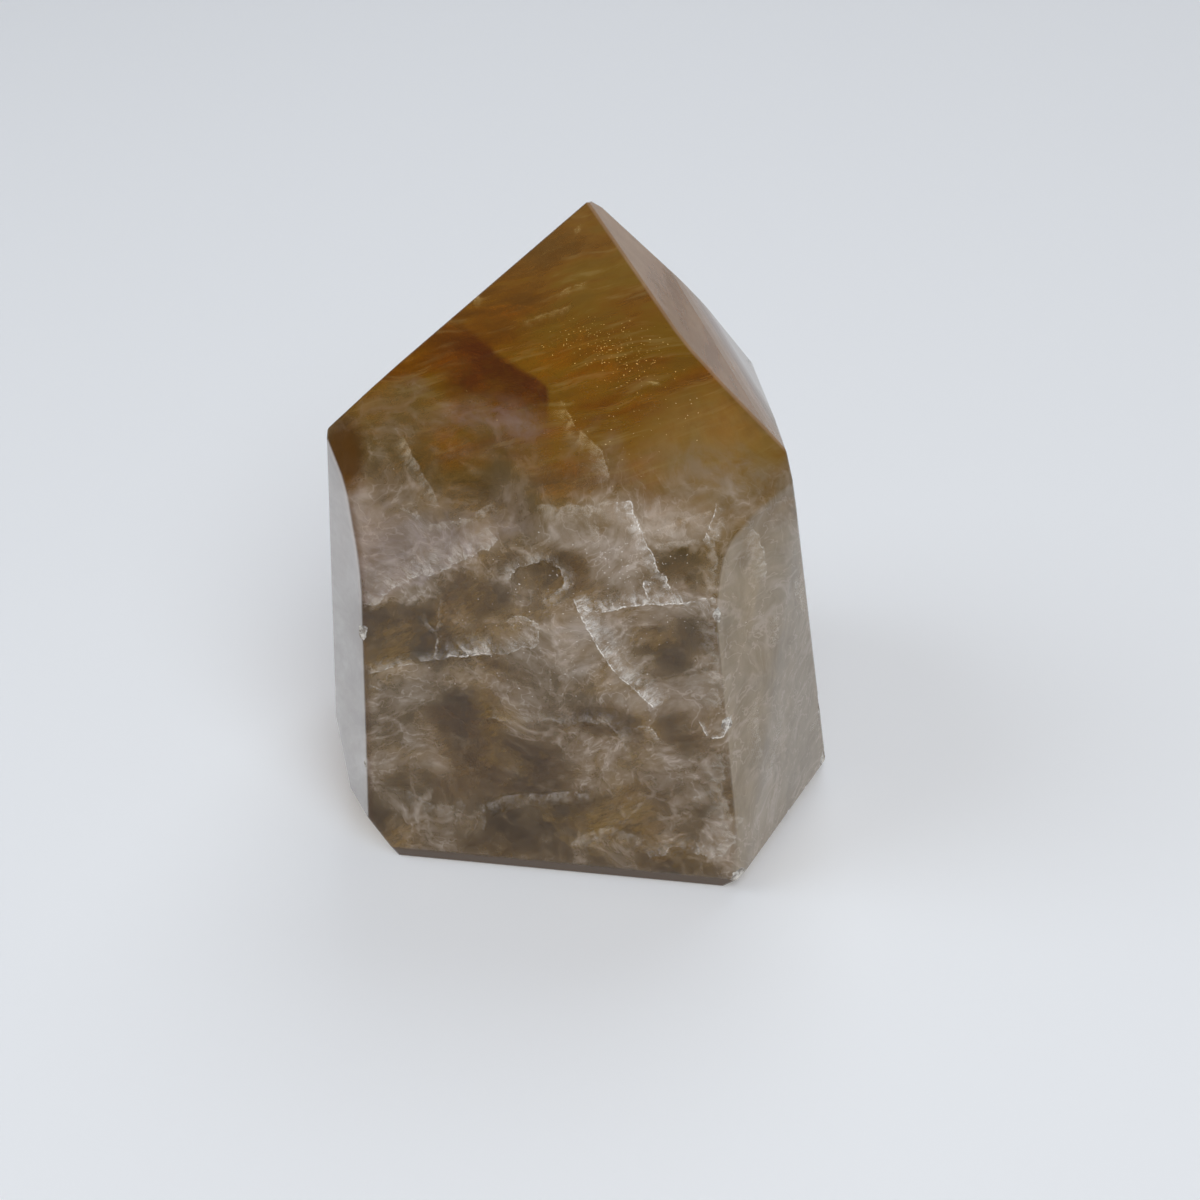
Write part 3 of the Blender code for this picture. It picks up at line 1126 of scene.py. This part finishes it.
def joinPieces(name, pieces):
    # One piece of them all, which casts no shadow on the stone.
    selectNone()
    for piece in pieces:
        piece.select_set(True)
    bpy.context.view_layer.objects.active = pieces[0]
    bpy.ops.object.join()
    pieces[0].name = name
    pieces[0].visible_shadow = False
    pieces[0].visible_diffuse = False
    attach(pieces[0], "root")


def wildCracks():
    # Routes that wander over one side after the other.
    random.seed(11)
    starts, stride, bend = crackSet["wildStarts"], crackSet["wildStride"], crackSet["wildBend"]
    found = []
    for heading in crackSet["wildSides"]:
        for number in range(crackSet["wildEach"]):
            u, z = random.uniform(*starts[0]), random.uniform(*starts[1])
            turn = random.uniform(-crackSet["wildTurn"], crackSet["wildTurn"])
            route = [(u, z)]
            for _ in range(random.choice(crackSet["wildStrides"])):
                turn += random.uniform(-bend, bend)
                u, z = u + stride * math.cos(turn), z + stride * math.sin(turn)
                route.append((u, z))
            kind = random.choice(crackSet["wildKinds"])
            soft = random.choice((-1, 1)) * random.uniform(*crackSet["wildSoft"])
            name = f"wild{heading}_{number}"
            found.append((name, kind, route, soft, crackSet["wildRagged"], heading))
    return found


def makeCracks():
    cracks = [(*crack, -90) for crack in crackSet["cracks"]] + wildCracks()
    random.seed(23)
    noise.seed_set(23)
    for kind, look in crackSet["kinds"].items():
        paint = paintCrack(kind + "Cracks", *look)
        group = [
            makeCrack(name, route, soft, ragged, paint, heading)
            for name, its, route, soft, ragged, heading in cracks
            if its == kind
        ]
        joinPieces(kind + "Cracks", group)


def makeFlecks(name, count, middle, spread, least, most, dull, bright):
    # Flat specks in bright colours: golden specks in the gold and white ones lower down among the
    # cracks, painted bright as glints that stand for sparkles of light.
    paint = Paint(bpy.data.materials.new(name))
    place = paint.node("ShaderNodeTexCoord", out="Object")
    shine = paint.node("ShaderNodeTexNoise", values={"Vector": place, "Scale": 3000.0})
    shade = paint.node(
        "ShaderNodeBsdfPrincipled",
        values={"Base Color": paint.blend(shine, dull, bright), "Roughness": 0.3},
    )
    paint.node("ShaderNodeOutputMaterial", values={"Surface": shade})
    way, _ = sideWays(-90)
    flecks = []
    for _ in range(count):
        x = middle[0] + random.gauss(0, crackSet["fleckGather"]) * spread[0]
        z = middle[1] + random.gauss(0, crackSet["fleckGather"]) * spread[1]
        spot = Vector((x, 0, z + footRise)) * mm
        rim = crackSet["fleckRim"] * mm
        if any(out.dot(spot) > reach - rim for out, reach in mainFacets):
            continue
        surface, out = surfaceAt(spot, way)
        selectNone()
        bpy.ops.mesh.primitive_circle_add(
            vertices=random.choice(crackSet["fleckSides"]),
            radius=random.uniform(least, most) * mm,
            fill_type="NGON",
            location=surface + out * crackSet["proud"] * mm,
            rotation=out.to_track_quat("Z", "Y").to_euler(),
        )
        fleck = bpy.context.object
        fleck.scale.x = random.uniform(*crackSet["fleckStretch"])
        bpy.ops.object.transform_apply(location=True, rotation=True, scale=True)
        fleck.data.materials.append(paint.holder)
        flecks.append(fleck)
    joinPieces(name, flecks)


makeCracks()
random.seed(3)
for fleckName, choices in crackSet["flecks"].items():
    makeFlecks(fleckName, *choices)
say("cracks and flecks")


def makeVeils():
    paint = paintVeil("milkVeil")
    x, y, z = veilSet["frontFrom"]
    heading, lift = veilSet["frontFacing"]
    random.seed(5)
    for index, depth in enumerate(veilSet["frontDepths"]):
        turn = random.uniform(-veilSet["frontTurn"], veilSet["frontTurn"])
        lean = random.uniform(-veilSet["frontLean"], veilSet["frontLean"])
        centre = (x, y + depth, z)
        makeVeil(f"frontVeil{index}", centre, heading + turn, lift + lean, veilSet["frontSize"], paint)
    reach = veilSet["wildReach"]
    for index in range(veilSet["wildCount"]):
        x, y = random.uniform(-reach, reach), random.uniform(-reach, reach)
        centre = (x, y, random.uniform(*veilSet["wildHeights"]))
        heading = random.uniform(0, 360)
        lift = random.uniform(*veilSet["wildLean"])
        makeVeil(f"wildVeil{index}", centre, heading, lift, veilSet["wildSize"], paint)


makeVeils()
say("veils")
